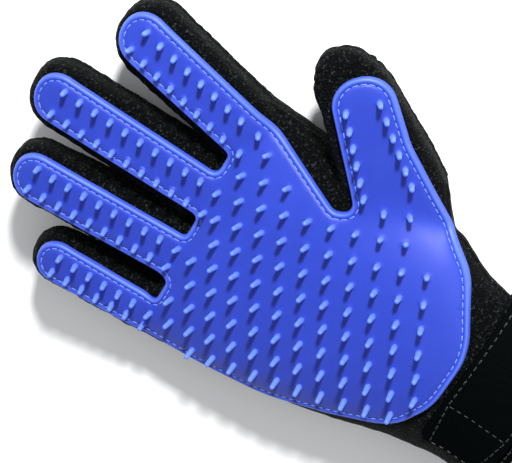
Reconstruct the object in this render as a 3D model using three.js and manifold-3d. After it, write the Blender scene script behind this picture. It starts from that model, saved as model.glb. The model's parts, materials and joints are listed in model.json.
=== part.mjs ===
// A right-hand five-finger grooming glove, lying on its back with the palm up.
// A one-piece silicone pad with blunt pins is stitched to the palm side of a mesh glove,
// and a hook-and-loop strap closes the wrist. The pad and the fabric are cut at the
// knuckle and at the middle joint of every finger, so that the fingers bend.
//
// Units are millimetres. The origin is on the flat of the back of the hand, +Y points to
// the fingertips, +X to the thumb and +Z out of the palm.
import * as THREE from 'three';
import { mergeVertices } from 'three/addons/utils/BufferGeometryUtils.js';
import Module from 'manifold-3d';

const wasm = await Module();
wasm.setup();

// Driving dimensions
const WALL = 1.8; // the fabric and its lining
const PAD = 2.0; // the silicone sheet
const GAP = 0.3; // clearance between two pieces
const LIFT = GAP + PAD; // the pad's outer face above the fabric
const SIDES = 18; // points around a section
const SEAM_Z = 16.5; // where the palm and back panels meet
const PIN = { height: 6, short: 5, root: 1.15, neck: 0.8, sunk: 1, sides: 5 };
const PITCH = 6.8; // between the pairs of pins on a finger
const NOSE = 2.1; // squareness of a fingertip, seen from the palm side
const CUFF_Y = -92;
const STRAP = { low: -88, high: -58.5, under: 2.4, over: 4.2, end: -27 };
const HOOK = { under: 1.4, inset: 3, end: -25, length: 20 }; // under the strap's free end
const LOOP = { over: 1.1, inset: 2, end: -28, length: 41 }; // on the glove, facing the hook patch
const BINDING = { over: 1.3, below: 1, above: 3 }; // round the cuff's edge
const FAR = 300;
const WELD = 0.004;

// The palm: left and right edges, lowest and highest point and squareness at each y
const PALM = [
  { y: CUFF_Y, left: -39, right: 31, low: 1, high: 36, power: 2.2 },
  { y: -70, left: -39, right: 31, low: 0, high: 35, power: 2.2 },
  { y: -46, left: -45.5, right: 35, low: -1, high: 34, power: 2.2 },
  { y: -30, left: -52, right: 43, low: -1, high: 34.5, power: 2.2 },
  { y: -5, left: -60, right: 45, low: -1, high: 33.5, power: 2.3 },
  { y: 20, left: -65, right: 45, low: -1, high: 31, power: 2.5 },
  { y: 40, left: -69, right: 45, low: -1, high: 27.5, power: 2.7 },
  { y: 57, left: -72, right: 45.5, low: 0, high: 24.5, power: 2.9 },
];

// Each finger: its root on the fabric's palm face, the way it points, its half width and half
// thickness at the root and near the tip, the length of its round end in half widths, the pad's
// half widths, how many pairs of pins each half has and how far from the root they start, where
// their two columns stand, and how far the middle line is to the side at the root and the tip
const FINGERS = [
  { name: 'index', root: [31.6, 60.4, 24.5], azimuth: 13.8, pitch: 9, roll: 2, length: 61.8,
    width: [14.2, 15.2], thick: [11.5, 9.2], nose: 1, pad: [10.4, 10.6], padLength: 60.5,
    rows: [4, 4], start: 0, pins: [[-5.6, -5.4], [4.4, 3.8]], shift: [0, 1] },
  { name: 'middle', root: [1.2, 61.1, 24.5], azimuth: 3.5, pitch: 9, roll: 0, length: 78.6,
    width: [14.4, 14], thick: [11.5, 9.2], nose: 1, pad: [10.2, 10.4], padLength: 76,
    rows: [4, 6], start: 0, pins: [[-5.2, -5.2], [5.2, 5.2]], shift: [0, -0.8] },
  { name: 'ring', root: [-28.9, 62.8, 24], azimuth: -0.3, pitch: 9, roll: -2, length: 69.8,
    width: [13.7, 13.2], thick: [11.3, 8.8], nose: 1, pad: [10, 10.4], padLength: 67.5,
    rows: [4, 5], start: 0, pins: [[-4.2, -4.4], [4.8, 5.2]], shift: [0, -1] },
  { name: 'pinky', root: [-59.6, 59.4, 22], azimuth: 1.4, pitch: 9, roll: -5, length: 49.6,
    width: [12.2, 11.6], thick: [10.3, 8.2], nose: 1, pad: [8.4, 9.4], padLength: 47,
    rows: [3, 3], start: 0, pins: [[-3, -3.3], [3.6, 4.4]], shift: [0, -1.4] },
  { name: 'thumb', root: [43.3, -2.4, 26], azimuth: 42.7, pitch: 13, roll: 2, length: 61,
    width: [20, 14.4], thick: [12.5, 10], nose: 1.45, pad: [15, 11.3], padLength: 51,
    rows: [4, 2], start: 2.3, pins: [[-10.4, -6.4], [7.7, 5]], shift: [-0.5, -6] },
];
const ROOT_DEPTH = 16; // how far a finger's form runs back into the palm
const THUMB_DEPTH = 40;
const THUMB_CUT = 17.8; // the pad is cut this far to the palm side of the thumb's middle
const THUMB_ROOM = 1.6; // clearance between the palm and the thumb's fabric, which swings past it

// The pins on the palm stand on a slanted grid
const GRID = { origin: [5.6, 3.1], across: [-8.7, -4.55], down: [3.4, -8.65], margin: 4.6 };
const KNUCKLE_ROOM = 1.5; // more room between the pairs of pins on the two sides of a knuckle

// The pad's outline on the palm: x, y and corner radius, clockwise from the thumb
const OUTLINE = [
  [58, 16, 0], [66, 5, 0], [50, -19, 26], [36, -40, 30], [12, -56.5, 30], [-14, -57, 30],
  [-34, -49, 24], [-47, -25, 40], [-58, 0, 60], [-64, 30, 60], [-68, 60, 0], [-68, 66, 0],
  [-50.3, 66, 0], [-50.3, 55.3, 3], [-39, 55.3, 3], [-39, 70, 0], [-18.9, 70, 0],
  [-18.9, 58.2, 3], [-8.1, 58.2, 3], [-8.1, 70, 0], [11.6, 70, 0], [11.6, 60.4, 3],
  [21.5, 60.4, 3], [23.3, 68, 0], [44, 64, 0], [40.6, 50, 20], [28, 15, 3.5], [31.8, 8.6, 3],
  [44, 22, 0],
];

const COLOURS = { pad: 0x3a54de, fabric: 0x0e0f11, strap: 0x15161a, tape: 0x101113 };
const ROUGHNESS = { pad: 0.42, fabric: 0.95, strap: 0.8, tape: 0.85 };

const rad = THREE.MathUtils.degToRad;
const mix = THREE.MathUtils.lerp;

// ---------- solids ----------

function solid(geometry, matrix = new THREE.Matrix4()) {
  const bare = new THREE.BufferGeometry();
  bare.setAttribute('position', geometry.getAttribute('position').clone());
  if (geometry.index) bare.setIndex(geometry.index.clone());
  const merged = mergeVertices(bare.applyMatrix4(matrix), 1e-4);
  return new wasm.Manifold(new wasm.Mesh({
    numProp: 3,
    vertProperties: new Float32Array(merged.getAttribute('position').array),
    triVerts: new Uint32Array(merged.index.array),
  }));
}

// The mesh of a solid, with edges too short to matter closed up
function geometryOf(body) {
  const { vertProperties, triVerts } = body.getMesh();
  const geometry = new THREE.BufferGeometry();
  geometry.setAttribute('position', new THREE.BufferAttribute(new Float32Array(vertProperties), 3));
  geometry.setIndex(new THREE.BufferAttribute(new Uint32Array(triVerts), 1));
  const welded = mergeVertices(geometry, WELD);
  const corners = welded.index.array;
  const kept = [];
  for (let i = 0; i < corners.length; i += 3) {
    const [a, b, c] = corners.slice(i, i + 3);
    if (a !== b && b !== c && c !== a) kept.push(a, b, c);
  }
  welded.setIndex(kept);
  welded.computeVertexNormals();
  return welded;
}

function box(low, high, matrix) {
  const size = high.map((v, i) => v - low[i]);
  const middle = high.map((v, i) => (v + low[i]) / 2);
  return solid(new THREE.BoxGeometry(...size).translate(...middle), matrix);
}

const joined = (bodies) => bodies.reduce((all, body) => all.add(body));

// ---------- forms ----------

// A superellipse: half width and half thickness about (x, z) at y; its top may be squarer
function sectionPoint(section, angle) {
  const c = Math.cos(angle);
  const s = Math.sin(angle);
  const power = 2 / (s > 0 ? section.topPower : section.power);
  return [
    section.x + Math.sign(c) * section.width * Math.abs(c) ** power,
    section.y,
    section.z + Math.sign(s) * section.thick * Math.abs(s) ** power,
  ];
}

function loft(sections, matrix) {
  const points = [];
  const faces = [];
  for (const section of sections) {
    for (let k = 0; k < SIDES; k += 1) {
      points.push(...sectionPoint(section, (k * 2 * Math.PI) / SIDES));
    }
  }
  const first = points.length / 3;
  const start = sections[0];
  const end = sections.at(-1);
  points.push(start.x, start.y, start.z, end.x, end.y, end.z);
  const last = (sections.length - 1) * SIDES;
  for (let k = 0; k < SIDES; k += 1) {
    const next = (k + 1) % SIDES;
    for (let row = 0; row < last; row += SIDES) {
      faces.push(row + k, row + SIDES + k, row + next);
      faces.push(row + next, row + SIDES + k, row + SIDES + next);
    }
    faces.push(first, k, next, first + 1, last + next, last + k);
  }
  const geometry = new THREE.BufferGeometry();
  geometry.setAttribute('position', new THREE.Float32BufferAttribute(points, 3));
  geometry.setIndex(faces);
  return solid(geometry, matrix);
}

// The palm's sections, grown outwards on all sides; the wrist end runs on by past
function palmSections(grow, past = 0) {
  const sections = PALM.map((at) => ({
    x: (at.left + at.right) / 2,
    y: at.y,
    z: (at.low + at.high) / 2,
    width: (at.right - at.left) / 2 + grow,
    thick: (at.high - at.low) / 2 + grow,
    power: at.power,
    topPower: at.power,
  }));
  sections.at(-1).y += Math.min(grow, 0);
  return past > 0 ? [{ ...sections[0], y: CUFF_Y - past }, ...sections] : sections;
}

// A finger in its own frame: +Y along it, the fabric's palm face at z = 0 at the root
function fingerSections(finger, grow) {
  const depth = finger.name === 'thumb' ? THUMB_DEPTH : ROOT_DEPTH;
  const round = finger.width[1] * finger.nose;
  const straight = finger.length - round;
  const at = (y, scale) => {
    const part = THREE.MathUtils.clamp(y / straight, 0, 1);
    const width = mix(...finger.width, part);
    const thick = mix(...finger.thick, part);
    return {
      x: mix(...finger.shift, THREE.MathUtils.clamp(y / finger.length, 0, 1) ** 2),
      y,
      z: -thick,
      width: (width + grow) * scale,
      thick: (thick + grow) * scale,
      power: 2.4,
      topPower: 5,
    };
  };
  const sections = [at(-depth, 0.75), at(-2, 1), at(straight, 1)];
  for (const part of [0.5, 0.85, 1]) {
    const scale = part < 1 ? (1 - part ** NOSE) ** (1 / NOSE) : 0.22;
    sections.push(at(straight + (round + grow) * part, scale));
  }
  return sections;
}

function fingerMatrix(finger) {
  const turn = new THREE.Euler(rad(finger.pitch), rad(finger.roll), -rad(finger.azimuth), 'ZXY');
  return new THREE.Matrix4().makeRotationFromEuler(turn).setPosition(...finger.root);
}

// The palm with the roots of the fingers; a form to be cut away runs on past both ends
function handForm(grow, past = 0) {
  const stubs = FINGERS.map((finger) => loft(fingerSections(finger, grow), fingerMatrix(finger))
    .intersect(box([-FAR, -FAR, -FAR], [FAR, past - GAP / 2, FAR], fingerMatrix(finger))));
  return joined([loft(palmSections(grow, past)), ...stubs]);
}

// ---------- the pad ----------

function outlineShape(points) {
  const shape = new THREE.Shape();
  points.forEach(([x, y, radius], i) => {
    const here = new THREE.Vector2(x, y);
    const before = new THREE.Vector2(...points.at(i - 1)).sub(here);
    const after = new THREE.Vector2(...points[(i + 1) % points.length]).sub(here);
    const half = Math.abs(before.angleTo(after)) / 2;
    const cut = Math.min(radius / Math.tan(half), before.length() * 0.48, after.length() * 0.48);
    const start = here.clone().add(before.setLength(cut));
    const end = here.clone().add(after.setLength(cut));
    if (i === 0) shape.moveTo(start.x, start.y);
    else shape.lineTo(start.x, start.y);
    if (radius > 0) shape.quadraticCurveTo(x, y, end.x, end.y);
  });
  shape.closePath();
  return shape;
}

function prism(shape, low, high, matrix, steps = 3) {
  const geometry = new THREE.ExtrudeGeometry(shape, {
    depth: high - low,
    bevelEnabled: false,
    curveSegments: steps,
  });
  return solid(geometry.translate(0, 0, low), matrix);
}

// The pad's outline on a finger, from behind the root to a round end
function fingerOutline(finger) {
  const [root, tip] = finger.pad;
  const centre = finger.padLength - tip;
  const shape = new THREE.Shape();
  shape.moveTo(-root, -ROOT_DEPTH);
  shape.lineTo(root, -ROOT_DEPTH);
  shape.lineTo(tip, centre);
  shape.absarc(0, centre, tip, 0, Math.PI);
  shape.closePath();
  return shape;
}

// The height of a loft's upper face at (x, y), from its sections
function topAt(sections, x, y) {
  const i = Math.max(1, sections.findIndex((s) => s.y >= y));
  const [a, b] = [sections[i - 1], sections[i]];
  const part = THREE.MathUtils.clamp((y - a.y) / (b.y - a.y), 0, 1);
  const value = (key) => mix(a[key], b[key], part);
  const across = Math.abs((x - value('x')) / value('width'));
  const power = value('topPower');
  return value('z') + value('thick') * (1 - Math.min(across, 0.99) ** power) ** (1 / power);
}

// A blunt pin standing square on the face given by the height function
function pin(height, x, y, tall) {
  const step = 1.5;
  const slopeX = (height(x + step, y) - height(x - step, y)) / (2 * step);
  const slopeY = (height(x, y + step) - height(x, y - step)) / (2 * step);
  const normal = new THREE.Vector3(-slopeX, -slopeY, 1).normalize();
  const { root, neck, sunk, sides } = PIN;
  const profile = [
    [0, -sunk], [root, -sunk], [neck, tall - neck], [0, tall],
  ].map(([r, z]) => new THREE.Vector2(r, z));
  const place = new THREE.Matrix4()
    .makeRotationFromQuaternion(new THREE.Quaternion().setFromUnitVectors(new THREE.Vector3(0, 1, 0), normal))
    .setPosition(x, y, height(x, y));
  return solid(new THREE.LatheGeometry(profile, sides), place);
}

// The pairs of pins between two counts of rows from a finger's root
function fingerPins(finger, from, to) {
  const rows = finger.rows[0] + finger.rows[1];
  const spots = [];
  for (let row = from; row < to; row += 1) {
    const part = row / rows;
    for (const [root, tip] of finger.pins) {
      spots.push([mix(root, tip, part), finger.start + (row + 0.5) * PITCH]);
    }
  }
  return spots;
}

function insideBy(points, x, y, margin) {
  let inside = false;
  let nearest = Infinity;
  points.forEach(([bx, by], i) => {
    const [ax, ay] = points.at(i - 1);
    if ((ay > y) !== (by > y) && x < ((bx - ax) * (y - ay)) / (by - ay) + ax) inside = !inside;
    const along = THREE.MathUtils.clamp(
      ((x - ax) * (bx - ax) + (y - ay) * (by - ay)) / ((bx - ax) ** 2 + (by - ay) ** 2), 0, 1);
    nearest = Math.min(nearest, Math.hypot(x - mix(ax, bx, along), y - mix(ay, by, along)));
  });
  return inside && nearest > margin;
}

// The palm's pins: the slanted grid, and one more pair below each finger's root
function palmPinSpots() {
  const spots = [];
  for (const finger of FINGERS.slice(0, 4)) {
    for (const [x, y] of fingerPins(finger, -1, 0)) {
      const spot = new THREE.Vector3(x, y - KNUCKLE_ROOM, 0).applyMatrix4(fingerMatrix(finger));
      spots.push([spot.x, spot.y]);
    }
  }
  const paired = spots.length;
  const thumb = new THREE.Vector3();
  for (let i = -8; i <= 4; i += 1) {
    for (let j = -4; j <= 9; j += 1) {
      const x = GRID.origin[0] + i * GRID.down[0] + j * GRID.across[0];
      const y = GRID.origin[1] + i * GRID.down[1] + j * GRID.across[1];
      thumb.set(x, y, 0).applyMatrix4(fingerMatrix(FINGERS[4]).invert());
      const clear = spots.slice(0, paired).every(([px, py]) => Math.hypot(x - px, y - py) > 5);
      const heel = i === 4 && j < -1;
      const onThumb = thumb.y > -2 && thumb.x > -THUMB_CUT;
      const onFinger = y > PALM.at(-1).y - 1;
      if (clear && !heel && !onThumb && !onFinger && insideBy(OUTLINE, x, y, GRID.margin)) {
        spots.push([x, y]);
      }
    }
  }
  return spots.map(([x, y], i) => [x, y, i < paired ? PIN.short : PIN.height]);
}

function palmPad(outer, inner) {
  const palm = palmSections(LIFT);
  const stubs = FINGERS.slice(0, 4).map((finger) => {
    const sections = fingerSections(finger, LIFT);
    return { sections, inverse: fingerMatrix(finger).invert() };
  });
  const height = (x, y) => {
    let top = y < PALM.at(-1).y ? topAt(palm, x, y) : 0;
    for (const { sections, inverse } of stubs) {
      const local = new THREE.Vector3(x, y, top).applyMatrix4(inverse);
      if (local.y > -ROOT_DEPTH && Math.abs(local.x) < sections[0].width) {
        top += Math.max(0, topAt(sections, local.x, local.y) - local.z);
      }
    }
    return top;
  };
  const thumb = box([-THUMB_CUT, -GAP / 2, -FAR], [FAR, FAR, FAR], fingerMatrix(FINGERS[4]));
  const sheet = outer.intersect(prism(outlineShape(OUTLINE), SEAM_Z, FAR));
  const pins = palmPinSpots().map((spot) => pin(height, ...spot));
  return joined([sheet, ...pins]).subtract(inner).subtract(thumb);
}

// ---------- the glove ----------

const materials = Object.fromEntries(Object.keys(COLOURS).map((slot) => [slot, () => (
  new THREE.MeshStandardMaterial({ color: COLOURS[slot], roughness: ROUGHNESS[slot], metalness: 0 })
)]));

function addPiece(group, name, body, slot) {
  const mesh = new THREE.Mesh(geometryOf(body), materials[slot]());
  mesh.name = name;
  group.add(mesh);
}

// One bending half of a finger, between two distances from its root
function addSegment(group, finger, part, from, to, palm) {
  const length = [from + GAP / 2, to - GAP / 2];
  const span = box([-FAR, length[0], -FAR], [FAR, length[1], FAR]);
  const form = (grow) => loft(fingerSections(finger, grow));
  const centre = -finger.thick[0];
  const room = finger.name === 'thumb' ? THUMB_ROOM : GAP;
  const shell = form(0).subtract(form(-WALL)).intersect(span).subtract(palm(room));
  const upper = box([-FAR, -FAR, centre + GAP / 2], [FAR, FAR, FAR]);
  const lower = box([-FAR, -FAR, -FAR], [FAR, FAR, centre - GAP / 2]);
  const sheet = form(LIFT).add(palm(LIFT)).subtract(form(GAP).add(palm(GAP))).intersect(span)
    .intersect(prism(fingerOutline(finger), -finger.thick[1], FAR, undefined, 6));
  const sections = fingerSections(finger, LIFT);
  const height = (x, y) => topAt(sections, x, y);
  const rows = part === 'base' ? [0, finger.rows[0]] : [finger.rows[0], finger.rows[0] + finger.rows[1]];
  const pins = fingerPins(finger, ...rows).map(([x, y]) => pin(height, x, y, PIN.short));
  addPiece(group, `${finger.name}_${part}_pad`, joined([sheet, ...pins]), 'pad');
  addPiece(group, `${finger.name}_${part}_front_panel`, shell.intersect(upper), 'fabric');
  addPiece(group, `${finger.name}_${part}_back_panel`, shell.intersect(lower), 'fabric');
}

function buildFinger(finger) {
  const group = new THREE.Group();
  const matrix = fingerMatrix(finger);
  group.applyMatrix4(matrix);
  const palm = (grow) => loft(palmSections(grow), matrix.clone().invert());
  const middle = finger.start + finger.rows[0] * PITCH;
  addSegment(group, finger, 'base', 0, middle, palm);
  addSegment(group, finger, 'tip', middle, FAR, palm);
  return group;
}

function buildPalm() {
  const group = new THREE.Group();
  const floor = box([-FAR, -FAR, -FAR], [FAR, FAR, 0]);
  const shell = handForm(0).subtract(handForm(-WALL, 10)).subtract(floor);
  const front = box([-FAR, -FAR, SEAM_Z + GAP / 2], [FAR, FAR, FAR]);
  const back = box([-FAR, -FAR, -FAR], [FAR, FAR, SEAM_Z - GAP / 2]);
  addPiece(group, 'palm_pad', palmPad(handForm(LIFT), handForm(GAP, 10)), 'pad');
  addPiece(group, 'palm_front_panel', shell.intersect(front), 'fabric');
  addPiece(group, 'palm_back_panel', shell.intersect(back), 'fabric');
  return group;
}

// A layer wrapped round the wrist, between two heights above the fabric
function wristLayer(under, over, low, high) {
  const slab = box([-FAR, low, -FAR], [FAR, high, FAR]);
  return loft(palmSections(over, 10)).subtract(loft(palmSections(under, 20))).intersect(slab);
}

// The strap comes round the thumb side, and its free end lies across the wrist's palm side
function buildWrist() {
  const group = new THREE.Group();
  const { low, high, under, over, end } = STRAP;
  const above = (x0, x1) => box([x0, -FAR, SEAM_Z + GAP / 2], [x1, FAR, FAR]);
  const below = box([0, -FAR, 1], [FAR, FAR, SEAM_Z - GAP / 2]);
  const patch = (at, lower, upper) => wristLayer(lower, upper, low + at.inset, high - at.inset)
    .intersect(above(at.end, at.end + at.length));
  const binding = wristLayer(GAP, BINDING.over, CUFF_Y - BINDING.below, CUFF_Y + BINDING.above);
  addPiece(group, 'strap', wristLayer(under, over, low, high).intersect(above(end, FAR)), 'strap');
  addPiece(group, 'strap_anchor', wristLayer(GAP, over, low, high).intersect(below), 'strap');
  addPiece(group, 'hook_patch', patch(HOOK, HOOK.under, under - GAP), 'tape');
  addPiece(group, 'loop_patch', patch(LOOP, GAP, LOOP.over), 'tape');
  addPiece(group, 'cuff_binding', binding, 'tape');
  return group;
}

const glove = new THREE.Group();
glove.add(buildPalm(), buildWrist(), ...FINGERS.map((finger) => buildFinger(finger)));

export default glove;
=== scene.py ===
import json
import math

import bpy
import numpy as np
from mathutils import Euler, Matrix, Vector, noise
from mathutils.bvhtree import BVHTree
from mathutils.geometry import delaunay_2d_cdt


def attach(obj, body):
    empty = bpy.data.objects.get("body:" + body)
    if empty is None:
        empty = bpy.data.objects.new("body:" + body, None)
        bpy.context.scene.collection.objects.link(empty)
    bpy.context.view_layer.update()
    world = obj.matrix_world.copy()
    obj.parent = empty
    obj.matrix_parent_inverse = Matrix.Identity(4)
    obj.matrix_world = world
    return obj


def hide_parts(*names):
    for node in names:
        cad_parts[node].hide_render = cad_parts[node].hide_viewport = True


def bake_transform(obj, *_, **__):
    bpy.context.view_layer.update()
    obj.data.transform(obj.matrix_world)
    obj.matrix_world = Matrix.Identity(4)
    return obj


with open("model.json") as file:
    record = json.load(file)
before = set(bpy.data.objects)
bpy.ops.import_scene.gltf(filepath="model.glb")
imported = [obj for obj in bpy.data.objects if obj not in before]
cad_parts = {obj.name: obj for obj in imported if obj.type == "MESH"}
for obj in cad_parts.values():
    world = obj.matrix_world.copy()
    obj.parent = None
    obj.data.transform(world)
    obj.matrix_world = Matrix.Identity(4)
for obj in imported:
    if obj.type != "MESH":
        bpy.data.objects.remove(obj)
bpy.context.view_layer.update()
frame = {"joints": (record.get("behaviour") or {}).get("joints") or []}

MM = 0.001

# ---- driving sizes, in millimetres ----

PALM = [  # y, left, right, low, high, squareness of the section
    (-92, -39, 31, 1, 36, 2.2),
    (-70, -39, 31, 0, 35, 2.2),
    (-46, -45.5, 35, -1, 34, 2.2),
    (-30, -52, 43, -1, 34.5, 2.2),
    (-5, -60, 45, -1, 33.5, 2.3),
    (20, -65, 45, -1, 31, 2.5),
    (40, -69, 45, -1, 27.5, 2.7),
    (57, -72, 45.5, 0, 24.5, 2.9),
]
FINGERS = [
    dict(name="index", root=(31.6, 60.4, 24.5), azimuth=13.8, pitch=9, roll=2, length=61.8,
         width=(14.2, 15.2), thick=(11.5, 9.2), nose=1, pad=(10.4, 10.6), pad_length=60.5,
         rows=(4, 4), start=0, pins=((-5.6, -5.4), (4.4, 3.8)), shift=(0, 1)),
    dict(name="middle", root=(1.2, 61.1, 24.5), azimuth=3.5, pitch=9, roll=0, length=78.6,
         width=(14.4, 14), thick=(11.5, 9.2), nose=1, pad=(10.2, 10.4), pad_length=76,
         rows=(4, 6), start=0, pins=((-5.2, -5.2), (5.2, 5.2)), shift=(0, -0.8)),
    dict(name="ring", root=(-28.9, 62.8, 24), azimuth=-0.3, pitch=9, roll=-2, length=69.8,
         width=(13.7, 13.2), thick=(11.3, 8.8), nose=1, pad=(10, 10.4), pad_length=67.5,
         rows=(4, 5), start=0, pins=((-4.2, -4.4), (4.8, 5.2)), shift=(0, -1)),
    dict(name="pinky", root=(-59.6, 59.4, 22), azimuth=1.4, pitch=9, roll=-5, length=49.6,
         width=(12.2, 11.6), thick=(10.3, 8.2), nose=1, pad=(8.4, 9.4), pad_length=47,
         rows=(3, 3), start=0, pins=((-3, -3.3), (3.6, 4.4)), shift=(0, -1.4)),
    dict(name="thumb", root=(43.3, -2.4, 26), azimuth=42.7, pitch=13, roll=2, length=61,
         width=(20, 14.4), thick=(12.5, 10), nose=1.45, pad=(15, 11.3), pad_length=51,
         rows=(4, 2), start=2.3, pins=((-10.4, -6.4), (7.7, 5)), shift=(-0.5, -6)),
]
THUMB = FINGERS[4]
FINGER_SECTION = dict(power=2.4, flatter=2.6)  # its squareness, and how much more on the palm side
PITCH = 6.8  # between the pairs of pins on a finger
CUFF_Y = -92
SEAM_Z = 16.5  # the palm's side seam
STRAP = dict(low=-88, high=-58.5, under=2.4, over=4.2, end=-27)
GRID = dict(origin=(5.6, 3.1), across=(-8.7, -4.55), down=(3.4, -8.65), margin=4.6, apart=5)
KNUCKLE_ROOM = 1.5  # more room between the pairs of pins on the two sides of a knuckle
THUMB_PINS = -17.8  # in the thumb's frame, the palm's own pins stand on this side of it
THUMB_SKIN = -22  # and the palm's own skin on this side
THUMB_CREASES = (51.5, 54.5)  # along the thumb

PAD = 2.0  # the silicone sheet
BAND = 3.4  # the rim and the stitched groove, in from the pad's edge
STITCH_IN = 2.65  # the stitch line, in from the pad's edge
RIM_ROWS = (0, 0.05, 0.15, 0.3, 0.5, 0.75, 1.05, 1.4, 1.75, 2.05, 2.25, 2.45, 2.65, 2.85, 3.1, BAND)
FAR_IN = 9.0  # where nothing is left of the rim and the groove
STANDOFF = 0.25  # between the hand's form and the underside of the pad
PIN = dict(height=6.0, short=5.0, root=1.15, neck=0.95, foot=1.5, sides=16)
NOSE = 2.1  # squareness of a fingertip, seen from the palm side
VOXEL = 1.1  # of the knit body's mesh
FABRIC = 1.0  # thickness of the knit and its lining
LOOP = dict(width=1.35, height=1.15)  # of the knit

# ---- frames of the fingers ----


def finger_matrix(finger):
    angles = (finger["pitch"], finger["roll"], -finger["azimuth"])
    matrix = Euler([math.radians(angle) for angle in angles], "ZXY").to_matrix().to_4x4()
    matrix.translation = finger["root"]
    return np.array(matrix)


def placed(points, matrix):
    """Points of a finger's own frame in the part's frame."""
    return np.asarray(points, float) @ matrix[:3, :3].T + matrix[:3, 3]


def local(points, matrix):
    """Points of the part's frame in a finger's own frame."""
    return (np.asarray(points, float) - matrix[:3, 3]) @ matrix[:3, :3]


for finger in FINGERS:
    finger["matrix"] = finger_matrix(finger)
    finger["middle"] = finger["start"] + finger["rows"][0] * PITCH  # its middle joint, from its root


def shift_at(finger, y):
    """How far a finger's middle line is to the side at y."""
    root, tip = finger["shift"]
    return root + (tip - root) * np.clip(y / finger["length"], 0, 1) ** 2


# ---- profiles and lines ----


def mix(a, b, part):
    return a * (1 - part) + b * part


def bell(distance, width):
    return np.exp(-((distance / width) ** 2))


def unit(vectors):
    return vectors / np.linalg.norm(vectors, axis=-1, keepdims=True)


def round_edge(part):
    """A quarter circle's height, from 0 at the edge to 1 where part is 1."""
    return np.sqrt(1 - (1 - np.clip(part, 0, 1)) ** 2)


def along_closed(line, spacing):
    """Places the same distance apart along a closed line, and a function from places to points."""
    edges = np.linalg.norm(np.roll(line, -1, 0) - line, axis=1)
    along = np.concatenate([[0], np.cumsum(edges)])
    closed = np.concatenate([line, line[:1]])
    count = int(along[-1] / spacing)

    def at(place):
        return np.stack([np.interp(place % along[-1], along, column) for column in closed.T], -1)

    return np.arange(count) * along[-1] / count, at


# ---- meshes ----


def new_object(name, data):
    made = bpy.data.objects.new(name, data)
    bpy.context.scene.collection.objects.link(made)
    return made


def mesh_object(name, points, faces):
    """A new object from points in millimetres."""
    mesh = bpy.data.meshes.new(name)
    mesh.from_pydata((np.asarray(points, float) * MM).tolist(), [], [list(map(int, f)) for f in faces])
    mesh.validate()
    mesh.shade_smooth()
    return new_object(name, mesh)


def read(items, key):
    values = np.empty(len(items) * 3, np.float32)
    items.foreach_get(key, values)
    return values.reshape(-1, 3)


def points_of(mesh):
    return read(mesh.vertices, "co").astype(float) / MM


def normals_of(mesh):
    return read(mesh.vertex_normals, "vector").astype(float)


def faces_of(mesh):
    return [tuple(face.vertices) for face in mesh.polygons]


def set_points(mesh, points):
    mesh.vertices.foreach_set("co", (points * MM).astype(np.float32).ravel())
    mesh.update()


def apply_modifiers(piece):
    """The mesh with its modifiers, in place of the plain one."""
    graph = bpy.context.evaluated_depsgraph_get()
    made = bpy.data.meshes.new_from_object(piece.evaluated_get(graph))
    piece.modifiers.clear()
    piece.data = made
    return piece


def add_attribute(mesh, name, values):
    attribute = mesh.attributes.new(name, "FLOAT", "POINT")
    attribute.data.foreach_set("value", np.asarray(values, np.float32))


def compact(faces):
    """The points that the faces use, and the faces with those points' new numbers."""
    used = sorted({i for face in faces for i in face})
    renumber = {old: new for new, old in enumerate(used)}
    return used, [tuple(renumber[i] for i in face) for face in faces]


def band(low, high, count):
    """Faces between two closed rows of points that start at low and at high."""
    after = [*range(1, count), 0]
    return [(low + k, low + n, high + n, high + k) for k, n in enumerate(after)]


def loft_mesh(rings):
    """Points and faces of a closed form through rings of equal count."""
    count = len(rings[0])
    points = np.concatenate([*rings, [rings[0].mean(0)], [rings[-1].mean(0)]])
    faces = []
    for row in range(len(rings) - 1):
        quads = band(row * count, (row + 1) * count, count)
        faces += [(a, d, c, b) for a, b, c, d in quads]
    start, end = len(rings) * count, len(rings) * count + 1
    last = (len(rings) - 1) * count
    for k in range(count):
        faces.append((start, k, (k + 1) % count))
        faces.append((end, last + (k + 1) % count, last + k))
    return points, faces


def ring(x, y, z, width, thick, power, flatter=0.0, count=96):
    """A superelliptic section about (x, z) at y, with a flatter upper half."""
    angle = np.arange(count) * 2 * math.pi / count
    c, s = np.cos(angle), np.sin(angle)
    root = 2 / np.where(s > 0, power + flatter, power)
    px = x + np.sign(c) * width * np.abs(c) ** root
    pz = z + np.sign(s) * thick * np.abs(s) ** root
    return np.stack([px, np.full(count, float(y)), pz], 1)


def palm_at(y, grow=0.0):
    """The palm's section at y as ring() wants it; the wrist end runs on unchanged."""
    stations = np.array(PALM, float)
    left, right, low, high, power = (np.interp(y, stations[:, 0], stations[:, k]) for k in range(1, 6))
    return dict(x=(left + right) / 2, y=y, z=(low + high) / 2, power=power,
                width=(right - left) / 2 + grow, thick=(high - low) / 2 + grow)


def palm_rings(low, high, step=3.0):
    return [ring(**palm_at(y)) for y in np.arange(low, high + step / 2, step)]


def finger_rings(finger):
    """A finger in its own frame, from inside the palm to its round end."""
    radius = finger["width"][1] * finger["nose"]
    straight = finger["length"] - radius
    depth = 40 if finger is THUMB else 16
    stations = [(-depth, 0.75)]
    stations += [(y, 1.0) for y in [*np.arange(-2, straight, 3.0), straight]]
    for part in (0.2, 0.4, 0.58, 0.73, 0.85, 0.93, 0.98):
        stations.append((straight + radius * part, (1 - part**NOSE) ** (1 / NOSE)))
    rings = []
    for y, scale in stations:
        part = np.clip(y / straight, 0, 1)
        width, thick = (mix(*finger[key], part) for key in ("width", "thick"))
        rings.append(ring(shift_at(finger, y), y, -thick, width * scale, thick * scale,
                          **FINGER_SECTION))
    return rings


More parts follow.
